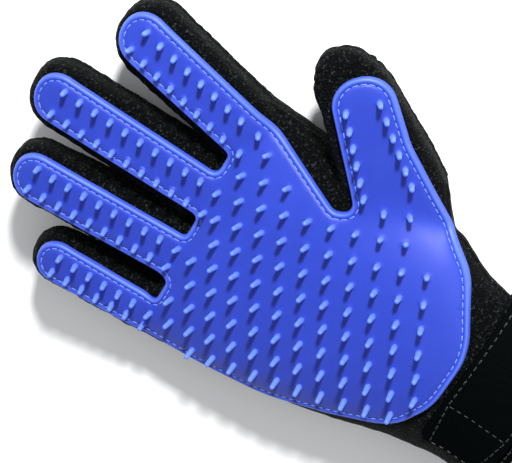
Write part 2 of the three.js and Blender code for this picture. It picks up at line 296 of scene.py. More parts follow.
def hand_form():
    """The palm and the fingers as overlapping closed forms."""
    parts = [loft_mesh(palm_rings(CUFF_Y - 9, PALM[-1][0]))]
    for finger in FINGERS:
        points, faces = loft_mesh(finger_rings(finger))
        parts.append((placed(points, finger["matrix"]), faces))
    points, faces = [], []
    for part_points, part_faces in parts:
        start = sum(map(len, points))
        points.append(part_points)
        faces += [tuple(start + i for i in face) for face in part_faces]
    return np.concatenate(points), faces


# ---- the height of the palm side ----


def blurred(grid, sigma):
    reach = int(3 * sigma)
    kernel = np.exp(-0.5 * (np.arange(-reach, reach + 1) / sigma) ** 2)
    kernel /= kernel.sum()
    for axis in (0, 1):
        grid = np.apply_along_axis(lambda row: np.convolve(row, kernel, "same"), axis, grid)
    return grid


class Height:
    """The palm side's height over (x, y), from rays cast down on the hand's form."""

    step = 0.75
    low = np.array([-90.0, -75.0])
    high = np.array([105.0, 150.0])
    above = 90
    blur = 3.2  # in steps, as the next one
    thumb_blur = 9.0  # the palm and the thumb run smoothly into each other
    thumb_root = (38, 0)
    thumb_reach = 16.0
    thumb_share = 0.8

    def __init__(self, points, faces):
        tree = BVHTree.FromPolygons([Vector(p) for p in points], faces)
        nx, ny = ((self.high - self.low) / self.step).astype(int) + 1
        hit = np.zeros((nx, ny))
        top = np.zeros((nx, ny))
        down = Vector((0, 0, -1))
        for i in range(nx):
            for j in range(ny):
                x, y = self.low + np.array([i, j]) * self.step
                place = tree.ray_cast(Vector((x, y, self.above)), down)[0]
                if place:
                    hit[i, j], top[i, j] = 1, place.z
        fine, wide = (blurred(hit * top, sigma) / np.maximum(blurred(hit, sigma), 1e-3)
                      for sigma in (self.blur, self.thumb_blur))
        x, y = self.low[:, None, None] + np.indices((nx, ny)) * self.step
        root = np.hypot(x - self.thumb_root[0], y - self.thumb_root[1])
        near = self.thumb_share * bell(root, self.thumb_reach)
        self.grid = mix(fine, wide, near)

    def at(self, xy):
        place = (np.asarray(xy, float) - self.low) / self.step
        cell = np.clip(np.floor(place).astype(int), 0, np.array(self.grid.shape) - 2)
        u, v = (place - cell).T
        i, j = cell.T
        low = mix(self.grid[i, j], self.grid[i + 1, j], u)
        high = mix(self.grid[i, j + 1], self.grid[i + 1, j + 1], u)
        return mix(low, high, v)

    def normal(self, xy, reach=1.5):
        xy = np.asarray(xy, float)
        dx = (self.at(xy + (reach, 0)) - self.at(xy - (reach, 0))) / (2 * reach)
        dy = (self.at(xy + (0, reach)) - self.at(xy - (0, reach))) / (2 * reach)
        return unit(np.stack([-dx, -dy, np.ones(len(xy))], 1))


# ---- the pad's outline ----


def lobe(finger):
    """The two corners of the pad's end on a finger, from its -X side, with their radii."""
    tip = finger["pad"][1]
    ends = placed([(-tip, finger["pad_length"], 0), (tip, finger["pad_length"], 0)], finger["matrix"])
    return [(*end[:2], tip * 0.98) for end in ends]


def pad_corners():
    """Corners of the whole pad, (x, y, radius), clockwise from the thumb's outer side."""
    index, middle, ring_finger, pinky = (lobe(f) for f in FINGERS[:4])
    heel = [(66, 5, 30), (50, -19, 26), (36, -40, 30), (12, -56.5, 30), (-14, -57, 30), (-34, -49, 24),
            (-47, -25, 40), (-58, 0, 60), (-64, 30, 60), (-68, 60, 20)]
    slots = [[(-50.3, 55.3, 2.2), (-39, 55.3, 2.2)], [(-18.9, 58.2, 2.2), (-8.1, 58.2, 2.2)],
             [(11.6, 60.4, 2.2), (21.5, 60.4, 2.2)]]
    web = [(42.2, 59.5, 60), (39.6, 48, 60), (28, 15, 3.6), (31.8, 8.6, 3.2)]
    return [*heel, *pinky, *slots[0], *ring_finger, *slots[1], *middle, *slots[2], *index, *web,
            *lobe(THUMB)]


def rounded(corners, spacing):
    """A closed line through the corners with their radii, as points the same distance apart."""
    straight = math.radians(89.5)
    line = []
    for i, (x, y, radius) in enumerate(corners):
        here = np.array([x, y], float)
        before = np.array(corners[i - 1][:2], float) - here
        after = np.array(corners[(i + 1) % len(corners)][:2], float) - here
        reach = [np.linalg.norm(v) for v in (before, after)]
        before, after = before / reach[0], after / reach[1]
        half = math.acos(np.clip(before @ after, -1, 1)) / 2
        if half > straight:
            line.append(here)
            continue
        cut = min(radius / math.tan(half), 0.5 * min(reach))
        middle = (before + after) / np.linalg.norm(before + after) * cut / math.cos(half)
        centre = here + middle
        start, end = here + before * cut - centre, here + after * cut - centre
        for part in np.linspace(0, 1, 25):
            line.append(centre + unit(mix(start, end, part)) * np.linalg.norm(start))
    places, at = along_closed(np.array(line), spacing)
    even = at(places)
    for _ in range(2):
        even = (np.roll(even, 1, 0) + 2 * even + np.roll(even, -1, 0)) / 4
    return even


def inward(line):
    """Unit vectors into the area of a closed line that runs clockwise."""
    along = unit(np.roll(line, -1, 0) - np.roll(line, 1, 0))
    return np.stack([along[:, 1], -along[:, 0]], 1)


def distance_inside(points, line):
    """How far points are inside a closed line, and below 0 outside it."""
    best = np.full(len(points), np.inf)
    inside = np.zeros(len(points), bool)
    for p, q in zip(line, np.roll(line, -1, 0)):
        edge = q - p
        part = np.clip((points - p) @ edge / (edge @ edge), 0, 1)[:, None]
        best = np.minimum(best, np.linalg.norm(points - p - part * edge, axis=1))
        crosses = (p[1] > points[:, 1]) != (q[1] > points[:, 1])
        with np.errstate(divide="ignore", invalid="ignore"):
            side = points[:, 0] < (q[0] - p[0]) * (points[:, 1] - p[1]) / (q[1] - p[1]) + p[0]
        inside ^= crosses & side
    return np.where(inside, best, -best)


# ---- the pins' places ----


def finger_pins(finger, first, last):
    """Pairs of pins on a finger between two counts of rows, as (x, y) in the part's frame."""
    rows = sum(finger["rows"])
    spots = []
    for row in range(first, last):
        for root, tip in finger["pins"]:
            room = KNUCKLE_ROOM if row < 0 else 0
            y = finger["start"] + (row + 0.5) * PITCH - room
            spots.append((root + (tip - root) * row / rows, y, 0))
    return placed(spots, finger["matrix"])[:, :2].tolist()


def pin_spots(outline):
    """Where all the pins stand, and how tall each is."""
    paired = [spot for finger in FINGERS[:4] for spot in finger_pins(finger, -1, 0)]
    grid = []
    for i in range(-8, 5):
        for j in range(-4, 10):
            x, y = (GRID["origin"][k] + i * GRID["down"][k] + j * GRID["across"][k] for k in (0, 1))
            clear = all(math.hypot(x - px, y - py) > GRID["apart"] for px, py in paired)
            thumb_x, thumb_y, _ = local([(x, y, 0)], THUMB["matrix"])[0]
            on_thumb = thumb_y > -2 and thumb_x > THUMB_PINS
            below_heel = i == 4 and j < -1
            if clear and not on_thumb and not below_heel and y < PALM[-1][0] - 1:
                grid.append((x, y))
    grid = np.array(grid)
    grid = grid[distance_inside(grid, outline) > GRID["margin"]].tolist()
    fingers = [spot for finger in FINGERS for spot in finger_pins(finger, 0, sum(finger["rows"]))]
    heights = [PIN["height"]] * len(grid) + [PIN["short"]] * len(paired + fingers)
    return np.array(grid + paired + fingers), np.array(heights)


# ---- the pad's mesh ----


def pad_thickness(inset):
    """The silicone's thickness at a distance in from the edge: a round raised rim and a groove."""
    edge = np.maximum(round_edge(inset / 0.9), math.sqrt(0.1))
    return PAD * edge + 0.22 * bell(inset - 1.2, 0.7) - 0.4 * bell(inset - STITCH_IN, 0.4)


def lifted(height, xy, thickness):
    """Points above the palm side by a thickness measured square to it."""
    normal = height.normal(xy)
    z = height.at(xy) + (thickness + STANDOFF) / normal[:, 2]
    return np.column_stack([xy, z])


def pin_rings(centre, normal, start_ring, foot, tall):
    """The pin's rings above its foot ring, and its point."""
    across = start_ring - centre
    across = unit(across - np.outer(across @ normal, normal))
    root, neck, top = PIN["root"], PIN["neck"], tall - PIN["neck"]
    profile = [(root + (foot - root) * 0.32, 0.13), (root + (foot - root) * 0.04, 0.5)]
    profile += [(root + (neck - root) * part, 0.5 + (top - 0.5) * part) for part in (0.33, 0.66, 1)]
    profile += [(neck * math.cos(a), top + neck * math.sin(a)) for a in (0.45, 0.9, 1.25)]
    rings = [centre + across * radius + normal * up for radius, up in profile]
    return rings, centre + normal * tall


def grid_inside(line, room, step, row_step, shift):
    """Grid points more than room inside a closed line, with every second row shifted."""
    x, y = np.meshgrid(np.arange(-75, 100, step), np.arange(-60, 145, row_step))
    x[1::2] += shift
    points = np.stack([x.ravel(), y.ravel()], 1)
    return points[distance_inside(points, line) > room]


def fill_plan(plan, loops, side):
    """Triangles of a plan inside its first closed loop and outside the others, facing up (side 1)
    or down (side -1). A loop is its first point's number and its count. The first loop comes first."""
    edges = [(first + k, first + (k + 1) % count) for first, count in loops for k in range(count)]
    _, _, triangles, source, _, _ = delaunay_2d_cdt([Vector(p) for p in plan], edges, [], 0, 1e-6)
    corners = np.array([numbers[0] for numbers in source])[np.array(triangles)]
    owner = np.full(len(plan), -1)
    for hole, (first, count) in enumerate(loops[1:]):
        owner[first:first + count] = hole
    own = owner[corners]
    in_hole = (own[:, 0] >= 0) & (own[:, 0] == own[:, 1]) & (own[:, 1] == own[:, 2])
    inside = distance_inside(plan[corners].mean(1), plan[:loops[0][1]]) > 0
    corners = corners[inside & ~in_hole]
    a, b, c = (plan[corners[:, k]] for k in range(3))
    area = (b[:, 0] - a[:, 0]) * (c[:, 1] - a[:, 1]) - (b[:, 1] - a[:, 1]) * (c[:, 0] - a[:, 0])
    return np.where(area[:, None] * side > 0, corners, corners[:, ::-1])


def pad_rim(height, outline):
    """The rim and the groove: the plan of the innermost row, all the points, their painted highlight,
    faces.
    """
    count = len(outline)
    rows = [outline + inward(outline) * inset for inset in RIM_ROWS]
    points = [lifted(height, row, pad_thickness(inset)) for row, inset in zip(rows, RIM_ROWS)]
    # painted highlight along the rim, lightest about 0.9 mm in from the edge
    painted_highlight = [np.full(count, 0.55 * bell(inset - 0.9, 0.9)) for inset in RIM_ROWS]
    faces = []
    for row in range(len(rows) - 1):
        faces += [face[::-1] for face in band(row * count, (row + 1) * count, count)]
    return rows[-1], np.concatenate(points), np.concatenate(painted_highlight), faces


def pad_sheet(inner, spots, feet):
    """The sheet inside the rim, as a plan and its triangles, with a round hole for each pin's foot."""
    sides = PIN["sides"]
    turn = np.arange(sides) * 2 * math.pi / sides
    circle = np.stack([np.cos(turn), np.sin(turn)], 1)
    circles = [spot + foot * circle for spot, foot in zip(spots, feet)]
    step = 1.5
    fill = grid_inside(inner, 0.55, step, step * 0.866, step / 2)
    nearest = np.min(np.linalg.norm(fill[:, None] - spots[None], axis=2) - feet, axis=1)
    plan = np.concatenate([inner, *circles, fill[nearest > 0.6]])
    loops = [(0, len(inner)), *((len(inner) + p * sides, sides) for p in range(len(spots)))]
    return plan, fill_plan(plan, loops, 1)


def pad_pins(height, points, first, spots, feet, heights):
    """The pins' points, painted highlight and faces. Their foot circles are in points, starting at
    first.
    """
    sides = PIN["sides"]
    centres = lifted(height, spots, PAD)
    normals = height.normal(spots)
    made, painted_highlight, faces = [], [], []
    at = len(points)
    for p, tall in enumerate(heights):
        foot = first + p * sides
        upper, tip = pin_rings(centres[p], normals[p], points[foot:foot + sides], feet[p], tall)
        made += [*upper, tip[None]]
        # painted highlight on the pins, lighter towards each pin's tip
        painted_highlight += [np.full(sides, min(1, 0.3 + 0.25 * row)) for row in range(len(upper))] + [[1.0]]
        rows = [foot, *range(at, at + len(upper) * sides, sides)]
        for low, high in zip(rows, rows[1:]):
            faces += band(low, high, sides)
        at += len(upper) * sides
        faces += [(rows[-1] + k, rows[-1] + (k + 1) % sides, at) for k in range(sides)]
        at += 1
    return np.concatenate(made), np.concatenate(painted_highlight), faces


def build_pad(height):
    """The whole pad as (points, faces, painted highlight, outline): one closed moulding with its pins.
    """
    outline = rounded(pad_corners(), 0.85)
    count = len(outline)
    inner, rim, rim_painted_highlight, faces = pad_rim(height, outline)
    spots, heights = pin_spots(outline)
    feet = np.minimum(PIN["foot"], distance_inside(spots, outline) - BAND - 0.12)
    plan, corners = pad_sheet(inner, spots, feet)
    sheet = lifted(height, plan[count:], pad_thickness(FAR_IN))
    faces += (corners + len(rim) - count).tolist()
    points = np.concatenate([rim, sheet])
    pins, pin_painted_highlight, pin_faces = pad_pins(height, points, len(rim), spots, feet, heights)
    under, under_faces = pad_underside(height, outline)
    start = len(points) + len(pins)
    faces += pin_faces
    faces += [tuple(i if i < count else i - count + start for i in face) for face in under_faces]
    painted_highlight = [rim_painted_highlight, np.zeros(len(sheet)), pin_painted_highlight, np.zeros(len(under) - count)]
    return np.concatenate([points, pins, under[count:]]), faces, np.concatenate(painted_highlight), outline


def pad_underside(height, outline):
    """The face that lies on the glove: it starts with the outline's own points."""
    plan = np.concatenate([outline, grid_inside(outline, 1.5, 3.0, 3.0, 0)])
    corners = fill_plan(plan, [(0, len(outline))], -1)
    return lifted(height, plan, 0), corners.tolist()


# ---- the knit glove's mesh ----


def noise_at(points, scale, seed):
    """Smooth noise from -1 to 1 at points, with a size in millimetres for each axis."""
    scaled = points / np.asarray(scale, float) + seed * 17.3
    return np.array([noise.noise(Vector(p)) for p in scaled])


def finger_of(points):
    """The finger that each point belongs to, or -1 for the palm, and its place in that frame."""
    best = np.full(len(points), -1)
    where = np.zeros((len(points), 3))
    nearest = np.full(len(points), 1.35)
    for k, finger in enumerate(FINGERS):
        place = local(points, finger["matrix"])
        aside = np.abs(place[:, 0] - shift_at(finger, place[:, 1])) / (finger["width"][0] + 1.5)
        mine = (place[:, 1] > 0) & (aside < nearest)
        if finger is THUMB:
            mine &= place[:, 0] > THUMB_SKIN
        best[mine], where[mine], nearest[mine] = k, place[mine], aside[mine]
    return best, where


def build_knit(points, faces, height, outline):
    """The glove's body as one closed skin over the hand's form; above_cuff opens it at the cuff
    afterwards.
    """
    body = mesh_object("knit_body", points, faces)
    remesh = body.modifiers.new("remesh", "REMESH")
    remesh.mode = "VOXEL"
    remesh.voxel_size = VOXEL * MM
    smooth = body.modifiers.new("smooth", "SMOOTH")
    smooth.factor = 0.5
    smooth.iterations = 14
    apply_modifiers(body)
    mesh = body.data
    skin = points_of(mesh)
    normal = normals_of(mesh)
    lowest = 0.3
    skin[:, 2] = np.maximum(skin[:, 2], lowest)

    own, place = finger_of(skin)
    inset = distance_inside(skin[:, :2], outline)
    bare = np.clip(1 - inset / 2, 0, 1)
    bare[normal[:, 2] < 0.1] = 1
    folds = knit_folds(skin, own, place)
    raised = np.clip((skin[:, 2] - lowest) / 3, 0, 1)
    skin += normal * (folds * bare * raised)[:, None]
    covered = (inset > -0.3) & (normal[:, 2] > 0)
    skin[covered, 2] = np.minimum(skin[covered, 2], height.at(skin[covered, :2]) - 0.05)
    set_points(mesh, skin)
    return body


def with_lining(points, faces):
    """The open skin with its inner face and a closed edge at the cuff."""
    shell = mesh_object("shell", points, faces)
    solid = shell.modifiers.new("solid", "SOLIDIFY")
    solid.thickness = FABRIC * MM
    solid.offset = -1
    apply_modifiers(shell)
    points, faces = points_of(shell.data), faces_of(shell.data)
    bpy.data.objects.remove(shell)
    return points, faces


def seam_ridge(distance):
    """How far a side seam stands out, between two shallow dips."""
    return 0.45 * bell(distance, 0.8) - 0.3 * bell(distance - 1.9, 0.9)


def knit_folds(skin, own, place):
    """How far the knit stands out or in: slack, cross folds on the fingers, creases and seams."""
    out = 0.35 * noise_at(skin, (9, 9, 9), 1)
    out += 0.22 * noise_at(skin, (3.2, 3.2, 3.2), 2)
    cross = noise_at(place, (14, 2.6, 9), 3)
    on_finger = own >= 0
    out[on_finger] += 0.4 * np.abs(cross[on_finger])
    for k, finger in enumerate(FINGERS):
        mine = own == k
        out[mine] += seam_ridge(np.abs(place[mine, 2] + finger["thick"][0]))
        if finger is THUMB:
            along = place[mine, 1] + 1.2 * noise_at(place[mine], (8, 50, 8), 4)
            for crease in THUMB_CREASES:
                out[mine] -= 0.7 * bell(along - crease, 0.7)
    out[~on_finger] += seam_ridge(np.abs(skin[~on_finger, 2] - SEAM_Z))
    return out


# ---- cutting along the joints ----


def segment_of(points):
    """-1 for the palm, 2k for finger k's root half and 2k + 1 for its tip half."""
    own, place = finger_of(points)
    cut = np.array([f["middle"] / 2 for f in FINGERS] + [0])[own]
    return np.where(own < 0, -1, 2 * own + (place[:, 1] > cut))


def weave_of(points, number):
    """Distances round the section and along the finger or palm, for the knit's own pattern."""
    if number < 0:
        place = points
        section = palm_at(points[:, 1])
        middle, half = section["x"], section["width"]
        centre, top = section["z"], section["z"] + section["thick"]
    else:
        finger = FINGERS[number // 2]
        place = local(points, finger["matrix"])
        middle = shift_at(finger, place[:, 1])
        half, centre, top = finger["width"][0], -finger["thick"][0], 0.0
    aside = place[:, 0] - middle
    over = np.where(place[:, 2] > centre, np.abs(aside), 2 * half - np.abs(aside))
    return np.stack([np.sign(aside) * (over + top - place[:, 2]), place[:, 1]])


def split(points, faces, attributes=None):
    """The mesh cut into palm, roots and tips: {segment: (points, faces, normals, attributes)}."""
    whole = mesh_object("whole", points, faces)
    normal = normals_of(whole.data)
    face_lists = faces_of(whole.data)
    segment = segment_of(read(whole.data.polygons, "center") / MM)
    bpy.data.objects.remove(whole)
    cuts = {}
    for number in sorted(set(segment.tolist())):
        used, cut_faces = compact([face_lists[i] for i in np.flatnonzero(segment == number)])
        own = np.asarray(points)[used]
        extra = {key: np.asarray(values)[used] for key, values in (attributes or {}).items()}
        extra["weave_u"], extra["weave_v"] = weave_of(own, number)
        cuts[number] = (own, cut_faces, normal[used], extra)
    return cuts


def segment_name(number):
    if number < 0:
        return "palm"
    return f"{FINGERS[number // 2]['name']}_{('base', 'tip')[number % 2]}"


def bend_with(piece, number):
    """Rides on the palm, or, for a finger's half, has its place baked into its points."""
    if number < 0:
        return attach(piece, "palm")
    finger = FINGERS[number // 2]
    name = finger["name"]
    if number % 2 == 0:
        bodies, span = ("palm", f"{name}_base"), (0.3, finger["middle"] * 0.45)
    else:
        bodies, span = (f"{name}_base", f"{name}_tip"), (finger["middle"] - 6, finger["middle"] + 6)
    start, end = (placed([(0, y, 0)], finger["matrix"])[0] * MM for y in span)
    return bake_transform(piece, *bodies, start=tuple(start), end=tuple(end))


def make_segments(name, cuts, material, replaced=()):
    for number, (points, faces, normal, extra) in cuts.items():
        piece = mesh_object(f"{segment_name(number)}_{name}", points, faces)
        piece.data.normals_split_custom_set_from_vertices(normal.tolist())
        for key, values in extra.items():
            add_attribute(piece.data, key, values)
        piece.data.materials.append(material)
        bend_with(piece, number)
        if replaced:
            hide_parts(*(f"{segment_name(number)}_{end}" for end in replaced))


# ---- materials ----


class Tree:
    """A material's nodes, with short ways to add and link them."""

    def __init__(self, name):
        self.material = bpy.data.materials.new(name)
        self.material.use_nodes = True
        self.nodes = self.material.node_tree.nodes
        self.links = self.material.node_tree.links
        self.shader = self.nodes["Principled BSDF"]

    def add(self, kind, settings=None, **inputs):
        node = self.nodes.new(kind)
        for key, value in (settings or {}).items():
            setattr(node, key, value)
        for key, value in inputs.items():
            self.put(node, key.replace("_", " "), value)
        return node

    def put(self, node, key, value):
        socket = node.inputs[int(key)] if key.isdigit() else node.inputs[key]
        if isinstance(value, bpy.types.NodeSocket):
            self.links.new(value, socket)
        else:
            socket.default_value = value

    def math(self, operation, a, b=0.0, c=0.0):
        node = self.add("ShaderNodeMath", {"operation": operation})
        for k, value in enumerate((a, b, c)):
            self.put(node, str(k), value)
        return node.outputs[0]

    def scaled(self, value, factor, plus=0.0):
        return self.math("MULTIPLY_ADD", value, factor, plus)

    def flipped(self, value):
        return self.math("SUBTRACT", 1.0, value)

    def ramp(self, value, stops):
        node = self.add("ShaderNodeValToRGB", Fac=value)
        while len(node.color_ramp.elements) < len(stops):
            node.color_ramp.elements.new(0.5)
        for element, (position, colour) in zip(node.color_ramp.elements, stops):
            element.position = position
            element.color = (*colour, 1)
        return node.outputs["Color"]

    def wave(self, turn):
        """From 0 to 1 and back with each full turn."""
        return self.scaled(self.math("SINE", turn), 0.5, 0.5)

    def noise(self, vector, scale, detail):
        return self.add("ShaderNodeTexNoise", Vector=vector, Scale=scale, Detail=detail).outputs["Fac"]

    def cells(self, vector, scale, uneven):
        node = self.add("ShaderNodeTexVoronoi", Vector=vector, Scale=scale, Randomness=uneven)
        return node.outputs["Distance"]

    def place(self):
        return self.add("ShaderNodeTexCoord").outputs["Object"]

    def attribute(self, name):
        return self.add("ShaderNodeAttribute", {"attribute_name": name}).outputs["Fac"]

    def bump(self, height, distance, strength=1.0):
        node = self.add("ShaderNodeBump", Height=height, Distance=distance, Strength=strength)
        self.links.new(node.outputs["Normal"], self.shader.inputs["Normal"])

    def set(self, **values):
        for key, value in values.items():
            self.put(self.shader, key.replace("_", " "), value)


def silicone_material():
    """Blue silicone, with a painted highlight lightening the pins and the rim."""
    tree = Tree("silicone")
    place = tree.place()
    cloud = tree.noise(place, 38.0, 4.0)
    grain = tree.noise(place, 2600.0, 2.0)
    patches = tree.scaled(tree.math("SUBTRACT", cloud, 0.5), 0.35)
    # the painted highlight lightens the blue on the pins and the rim; the cloud patches are random tone
    colour = tree.ramp(tree.math("ADD", tree.attribute("painted_highlight"), patches), [
        (0.0, (0.013, 0.035, 0.34)), (0.3, (0.022, 0.054, 0.42)), (0.75, (0.085, 0.165, 0.82))])
    tree.set(Base_Color=colour, Roughness=0.5, IOR=1.41, Subsurface_Weight=0.12,
             Subsurface_Scale=0.0015, Sheen_Weight=0.08, Sheen_Roughness=0.5)
    tree.shader.inputs["Subsurface Radius"].default_value = (0.3, 0.5, 1.0)
    tree.bump(tree.scaled(cloud, 2.0, grain), 0.00006, 0.5)
    return tree.material


def knit_material():
    """A crinkled knit of V-shaped loops with painted glints, and small round holes on the back of the
    hand.
    """
    tree = Tree("knit")
    place = tree.place()
    crinkle = tree.math("SUBTRACT", tree.noise(place, 330.0, 2.0), 0.5)
    wale = tree.math("DIVIDE", tree.attribute("weave_u"), LOOP["width"])
    wale = tree.scaled(crinkle, 1.5, wale)
    aside = tree.math("ABSOLUTE", tree.math("SUBTRACT", tree.math("FRACT", wale), 0.5))
    course = tree.math("DIVIDE", tree.attribute("weave_v"), LOOP["height"])
    course = tree.scaled(crinkle, 2.2, course)
    course = tree.scaled(aside, 1.1, course)
    wave = tree.wave(tree.scaled(course, math.tau))
    loops = tree.scaled(wave, tree.flipped(tree.math("POWER", aside, 3.0)))
    fuzz = tree.noise(place, 6000.0, 3.0)
    height = tree.scaled(fuzz, 0.35, tree.scaled(crinkle, 2.5, loops))

    face = tree.add("ShaderNodeSeparateXYZ", Vector=tree.add("ShaderNodeNewGeometry").outputs["Normal"])
    back = tree.add("ShaderNodeMapRange", {"interpolation_type": "SMOOTHSTEP"}, Value=face.outputs["Z"],
                    From_Min=-0.45, From_Max=-0.75).outputs["Result"]
    hole = tree.cells(place, 430.0, 0.12)
    hole = tree.scaled(tree.math("LESS_THAN", hole, 0.3), back)
    height = tree.scaled(hole, -2.5, height)

    grain = tree.noise(place, 850.0, 3.0)
    # painted glints: light flecks in the base colour, stronger on the loops' crests and left out of the
    # holes
    painted_glint = tree.add("ShaderNodeMapRange", Value=grain, From_Min=0.5, From_Max=0.68).outputs["Result"]
    height = tree.scaled(grain, 3.0, height)
    painted_light = tree.scaled(painted_glint, tree.scaled(loops, 0.6, 0.4))
    painted_light = tree.scaled(painted_light, tree.flipped(hole))
    colour = tree.ramp(painted_light, [
        (0.0, (0.0008, 0.0012, 0.0013)), (0.35, (0.0040, 0.0055, 0.0058)),
        (1.0, (0.046, 0.055, 0.053))])
    tree.set(Base_Color=colour, Roughness=0.7, Specular_IOR_Level=0.07)
    tree.bump(height, 0.0009, 1.0)
    return tree.material


def webbing_material(name, pitch, colour, shine):
    """Woven tape: raised ribs across the wrist, crossed by finer ones, with painted shade in the
    weave's low parts.
    """
    tree = Tree(name)
    place = tree.place()
    axes = tree.add("ShaderNodeSeparateXYZ", Vector=place)
    waves = [tree.wave(tree.scaled(axes.outputs[axis], math.tau / (pitch * scale * MM)))
             for axis, scale in (("Y", 1.0), ("X", 0.6), ("Z", 0.6))]
    across = tree.scaled(waves[1], waves[2])
    weave = tree.scaled(across, 0.6, waves[0])
    fuzz = tree.noise(place, 5000.0, 3.0)
    height = tree.scaled(fuzz, 0.4, weave)
    # painted shade: the weave's low parts are darker than its raised ribs
    low = tuple(c * 0.45 for c in colour)
    painted_light = tree.scaled(height, 0.5)
    tree.set(Base_Color=tree.ramp(painted_light, [(0.0, low), (1.0, colour)]), Roughness=0.7,
             Specular_IOR_Level=shine)
    tree.bump(height, 0.00025, 0.8)
    return tree.material


def pile_material(name, scale, colour):
    """Hooks or loops standing close together, with painted shade between the tufts."""
    tree = Tree(name)
    place = tree.place()
    tuft = tree.cells(place, scale, 0.6)
    fuzz = tree.noise(place, 4200.0, 3.0)
    height = tree.scaled(fuzz, 0.5, tree.flipped(tuft))
    # painted shade: darker between the tufts, lighter on their tops
    dark = tuple(c * 0.3 for c in colour)
    tree.set(Base_Color=tree.ramp(tuft, [(0.0, colour), (0.6, dark)]), Roughness=0.85,
             Specular_IOR_Level=0.2, Sheen_Weight=0.08, Sheen_Roughness=0.3)
    tree.bump(height, 0.0006, 1.0)
    return tree.material


def thread_material(name, colour):
    tree = Tree(name)
    ply = tree.add("ShaderNodeTexWave", {"wave_type": "BANDS", "bands_direction": "DIAGONAL"},
                   Vector=tree.place(), Scale=900.0, Distortion=1.0)
    # painted shade in the grooves between the plies, which follow the bump bands
    dark = tuple(c * 0.7 for c in colour)
    tree.set(Base_Color=tree.ramp(ply.outputs["Fac"], [(0.0, dark), (1.0, colour)]), Roughness=0.5,
             Sheen_Weight=0.3, Sheen_Roughness=0.3)
    tree.bump(ply.outputs["Fac"], 0.00008, 0.6)
    return tree.material


# ---- stitches ----


def stitch_spots(line, pitch):
    """Middles and directions of stitches the same distance apart along a closed 3-D line."""
    middle, at = along_closed(line, pitch)
    return at(middle), unit(at(middle + 0.8) - at(middle - 0.8))


def stitches(middles, directions, ups, length, radius):
    """A thread capsule for each stitch, that dips at its ends."""
    half = [(-0.5, 0.35, -1.0), (-0.42, 0.85, -0.35), (-0.22, 1, 0.25)]  # place, girth, lift
    profile = [*half, (0, 1, 0.4), *((-place, girth, lift) for place, girth, lift in half[::-1])]
    sides = 6
    turn = np.arange(sides) * 2 * math.pi / sides
    points, faces = [], []
    for middle, along, up in zip(middles, directions, ups):
        side = unit(np.cross(along, up))
        round_it = np.outer(np.cos(turn), side) + np.outer(np.sin(turn), up)
        start = len(points) * sides
        points += [middle + along * length * place + up * radius * lift + radius * girth * round_it
                   for place, girth, lift in profile]
        last = start + (len(profile) - 1) * sides
        for low in range(start, last, sides):
            faces += band(low, low + sides, sides)
        faces.append(tuple(range(start, start + sides))[::-1])
        faces.append(tuple(range(last, last + sides)))
    return np.concatenate(points), faces


def pad_stitches(height, outline):
    line_xy = outline + inward(outline) * STITCH_IN
    line = lifted(height, line_xy, pad_thickness(STITCH_IN) + 0.12)
    middles, directions = stitch_spots(line, 3.1)
    return stitches(middles, directions, height.normal(middles[:, :2]), 2.4, 0.26)


# ---- the wrist ----


class Wrist:
    """Places on the wrist by distance round it, from mid-palm towards the thumb."""

    measured_y = -73.0

    def __init__(self):
        self.angles = np.radians(np.arange(90, -270.5, -0.5))
        self.line = self.place(self.angles, np.full(len(self.angles), self.measured_y), 3.0)
        steps = np.linalg.norm(np.diff(self.line, axis=0), axis=1)
        self.around = np.concatenate([[0], np.cumsum(steps)])
        self.length = self.around[-1]

    def place(self, angle, y, grow):
        section = palm_at(y, grow)
        power = 2 / section["power"]
        c, s = np.cos(angle), np.sin(angle)
        x = section["x"] + np.sign(c) * section["width"] * np.abs(c) ** power
        z = section["z"] + np.sign(s) * section["thick"] * np.abs(s) ** power
        return np.stack([x, y, np.maximum(z, 0.15 + 0.12 * grow)], -1)

    def at(self, around, y, grow):
        angle = np.interp(around % self.length, self.around, self.angles)
        return self.place(angle, y, grow)

    def around_to(self, x, face):
        """The distance round to x on the palm side (face 1) or on the back (face -1)."""
        mine = (self.line[:, 2] - SEAM_Z) * face > 0
        order = np.argsort(self.line[mine, 0])
        return np.interp(x, self.line[mine, 0][order], self.around[mine][order])


def tape(wrist, start, end, low, high, under, over, corner, puff=0.0):
    """A flat tape round the wrist, with rounded edges, and round corners at its start."""
    half = (over - under) / 2
    columns = np.linspace(start, end, max(8, int((end - start) / 1.6)))
    edge = [0, 0.15, 0.45, 0.9]
    width = high - low
    across = np.array([*edge, *np.linspace(1.8, width - 1.8, 17), *(width - np.array(edge[::-1]))])
    rise = half * round_edge(np.minimum(across, width - across) / 0.7)
    swell = puff * np.sin(math.pi * across / width)
    rings = []
    for s in columns:
        cut = corner - math.sqrt(corner**2 - max(corner - (s - start), 0) ** 2)
        y = low + cut + across / width * (width - 2 * cut)
        ends = round_edge((min(s - start, end - s) + 0.02) / 0.8)
        upper = wrist.at(np.full(len(y), s), y, under + half + rise * ends + swell)
        lower = wrist.at(np.full(len(y), s), y, under + half - rise * ends)
        rings.append(np.concatenate([upper, lower[::-1]]))
    count = 2 * len(across)
    faces = []
    for row in range(len(rings) - 1):
        faces += band(row * count, (row + 1) * count, count)
    for first, turn in ((0, -1), (count * (len(rings) - 1), 1)):
        last = first + count - 1
        for k in range(len(across) - 1):
            faces.append((first + k, first + k + 1, last - k - 1, last - k)[::turn])
    return np.concatenate(rings), faces


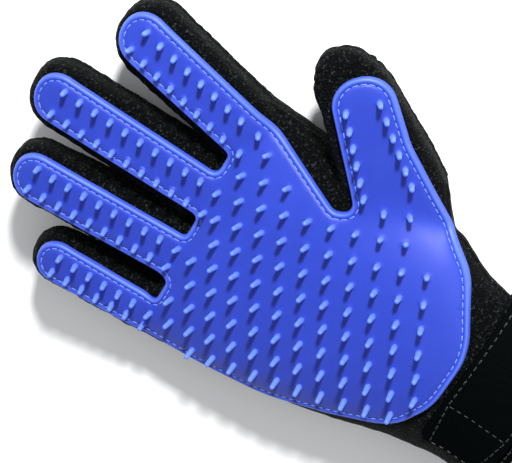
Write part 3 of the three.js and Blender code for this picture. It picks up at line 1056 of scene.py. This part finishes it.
def wrist_stitches(wrist, corners, grow):
    """Lockstitch along lines between corners (distance round, y) on the wrist."""
    pitch = 3.0
    places, reach = [], []
    for start, end in zip(np.array(corners), np.array(corners[1:])):
        span = end - start
        count = max(2, int(math.hypot(*span) / pitch))
        part = (np.arange(count) + 0.5) / count
        places.append(start + span * part[:, None])
        reach.append(np.tile(span / math.hypot(*span) * 0.5, (count, 1)))
    places, reach = np.concatenate(places), np.concatenate(reach)
    middle = wrist.at(*places.T, grow)
    along = unit(wrist.at(*(places + reach).T, grow) - middle)
    up = unit(wrist.at(*places.T, grow + 1) - middle)
    return stitches(middle, along, up, 2.2, 0.24)


def wrist_piece(name, made, material, body, nodes=()):
    piece = mesh_object(name, *made)
    piece.data.materials.append(material)
    if body:
        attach(piece, body)
    if nodes:
        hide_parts(*nodes)
    return piece


def bend_strap(piece):
    """Bakes the strap's place into its points; it reads the strap_peel joint's axis but does not turn
    the strap about it.
    """
    axis = next(j for j in frame["joints"] if j["name"] == "strap_peel")["pos_m"]
    start, end = (Vector(axis) + Vector((0, 0, side * 5 * MM)) for side in (-1, 1))
    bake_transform(piece)


def build_strap(wrist, free, thread):
    """The strap, from its free end on the palm side round the thumb side to its sewn end."""
    low, high, under, over = (STRAP[key] for key in ("low", "high", "under", "over"))
    inset, square = 2.2, 20
    sewn = wrist.around_to(0, -1)
    made = tape(wrist, free, sewn, low, high, under, over, corner=6.0, puff=0.25)
    webbing = webbing_material("webbing", 1.1, (0.0012, 0.0021, 0.0024), 0.012)
    nodes = ["strap", "strap_anchor"]
    bend_strap(wrist_piece("wrist_strap", made, webbing, None, nodes))
    top, bottom = high - inset, low + inset
    first, last, anchor = free + square, sewn - inset, sewn - 14
    lines = [[(free + inset, low + 5), (free + inset, high - 5), (first, top), (first, bottom),
              (free + inset, low + 5)],
             [(first, bottom), (anchor, bottom)],
             [(first, top), (anchor, top)],
             [(last, bottom), (last, top), (anchor, top), (anchor, bottom), (last, bottom),
              (anchor, top)]]
    for k, line in enumerate(lines):
        made = wrist_stitches(wrist, line, over + 0.12)
        bend_strap(wrist_piece(f"strap_stitches_{k + 1}", made, thread, None))


def build_patches(wrist, free):
    """The hooks under the strap's free end, and the loops on the glove below them."""
    low, high, under = (STRAP[key] for key in ("low", "high", "under"))
    hook = tape(wrist, free + 2, free + 22, low + 3, high - 3, 1.4, under - 0.3, corner=4.0)
    wrist_piece("hook_patch_tape", hook, pile_material("hooks", 900.0, (0.010, 0.010, 0.012)),
                "strap_flap", ["hook_patch"])
    loop = tape(wrist, free - 1, free + 40, low + 2, high - 2, 0.3, 1.1, corner=4.0)
    wrist_piece("loop_patch_tape", loop, pile_material("loops", 1400.0, (0.012, 0.012, 0.013)),
                "palm", ["loop_patch"])


def build_wrist():
    wrist = Wrist()
    free = wrist.around_to(STRAP["end"], 1) - wrist.length  # round from the middle, away from the thumb
    thread = thread_material("dark_thread", (0.0016, 0.0022, 0.0024))
    build_strap(wrist, free, thread)
    build_patches(wrist, free)
    binding = webbing_material("binding", 0.9, (0.0012, 0.0019, 0.0022), 0.012)
    wrist_piece("cuff_binding_tape", cuff_binding(wrist), binding, "palm",
                ["cuff_binding"])
    stitch_y = CUFF_Y + 2.1
    line = wrist_stitches(wrist, [(0.5, stitch_y), (wrist.length - 0.5, stitch_y)], 1.25)
    wrist_piece("cuff_stitches", line, thread, "palm")


def cuff_binding(wrist):
    """Tape folded over the cuff's edge: a U in section, all the way round."""
    outline = [(3.0, 0.45), (3.0, 1.05), (1.5, 1.3), (0.0, 1.15), (-0.7, 0.5), (-0.95, -0.5),
               (-0.7, -1.5), (0.0, -2.1), (1.5, -2.2), (3.0, -1.9), (3.0, -1.3), (0.2, -1.1),
               (-0.1, -0.5), (0.2, 0.2)]
    count = 220
    around = np.arange(count) * wrist.length / count
    rings = []
    for up, grow in outline:
        wave = 0.12 * np.sin(around * 1.3 + up) + 0.08 * np.sin(around * 0.47)
        rings.append(wrist.at(around, np.full(count, CUFF_Y + up), grow + wave))
    faces = []
    for row in range(len(outline)):
        faces += band(row * count, (row + 1) % len(outline) * count, count)
    return np.concatenate(rings), faces


# ---- stage ----


def build_stage():
    far = 900
    corners = [(-far, -far, 0), (far, -far, 0), (far, far, 0), (-far, far, 0)]
    floor = mesh_object("floor", corners, [(0, 1, 2, 3)])
    tree = Tree("floor")
    tree.set(Base_Color=(0.93, 0.935, 0.94, 1), Roughness=0.9)
    floor.data.materials.append(tree.material)


def area_light(name, direction, distance, size, power):
    """A round light in a direction from the middle of the glove, in metres and watts."""
    data = bpy.data.lights.new(name, "AREA")
    data.shape = "DISK"
    data.size = size
    data.energy = power
    lamp = new_object(name, data)
    direction = Vector(direction).normalized()
    lamp.location = Vector((0, 0.02, 0.02)) + direction * distance
    lamp.rotation_euler = direction.to_track_quat("Z", "Y").to_euler()


def build_lights():
    area_light("key", (0.79, 0.16, 0.59), distance=1.1, size=0.16, power=26)
    area_light("fill", (0.5, -0.4, 0.8), distance=1.2, size=1.0, power=3)
    world = bpy.data.worlds.new("sky")
    world.use_nodes = True
    sky = world.node_tree.nodes["Background"].inputs
    sky["Color"].default_value = (0.97, 0.98, 1.0, 1)
    sky["Strength"].default_value = 0.44
    bpy.context.scene.world = world
    bpy.context.scene.view_settings.view_transform = "Standard"


def build_camera():
    """Tilted 27 degrees towards the thumb, with the fingers pointing up and left in the picture."""
    target = Vector((0.0024, 0.0358, 0.0288))
    place = Vector((0.2724, 0, 0.5646))
    picture_up = Vector((0.740, 0.560, -0.377))
    back = (place - target).normalized()
    right = picture_up.cross(back).normalized()
    up = back.cross(right)
    data = bpy.data.cameras.new("camera")
    data.sensor_width = 36
    data.lens = 111
    camera = new_object("camera", data)
    camera.matrix_world = Matrix((right, up, back)).transposed().to_4x4()
    camera.location = place
    bpy.context.scene.camera = camera


# ---- the glove ----


def above_cuff(body):
    """The part of a closed body past the cuff's edge, as an open shell with its lining."""
    skin = points_of(body.data)
    keep = skin[:, 1] > CUFF_Y
    used, faces = compact([face for face in faces_of(body.data) if all(keep[i] for i in face)])
    bpy.data.objects.remove(body)
    return with_lining(skin[used], faces)


def build_glove():
    form = hand_form()
    height = Height(*form)
    points, faces, painted_highlight, outline = build_pad(height)
    make_segments("silicone", split(points, faces, {"painted_highlight": painted_highlight}), silicone_material(),
                  ["pad"])
    make_segments("pad_stitches", split(*pad_stitches(height, outline)),
                  thread_material("blue_thread", (0.11, 0.21, 0.85)))
    knit = above_cuff(build_knit(*form, height, outline))
    make_segments("knit", split(*knit), knit_material(), ["front_panel", "back_panel"])
    build_wrist()


build_camera()
build_stage()
build_lights()
build_glove()
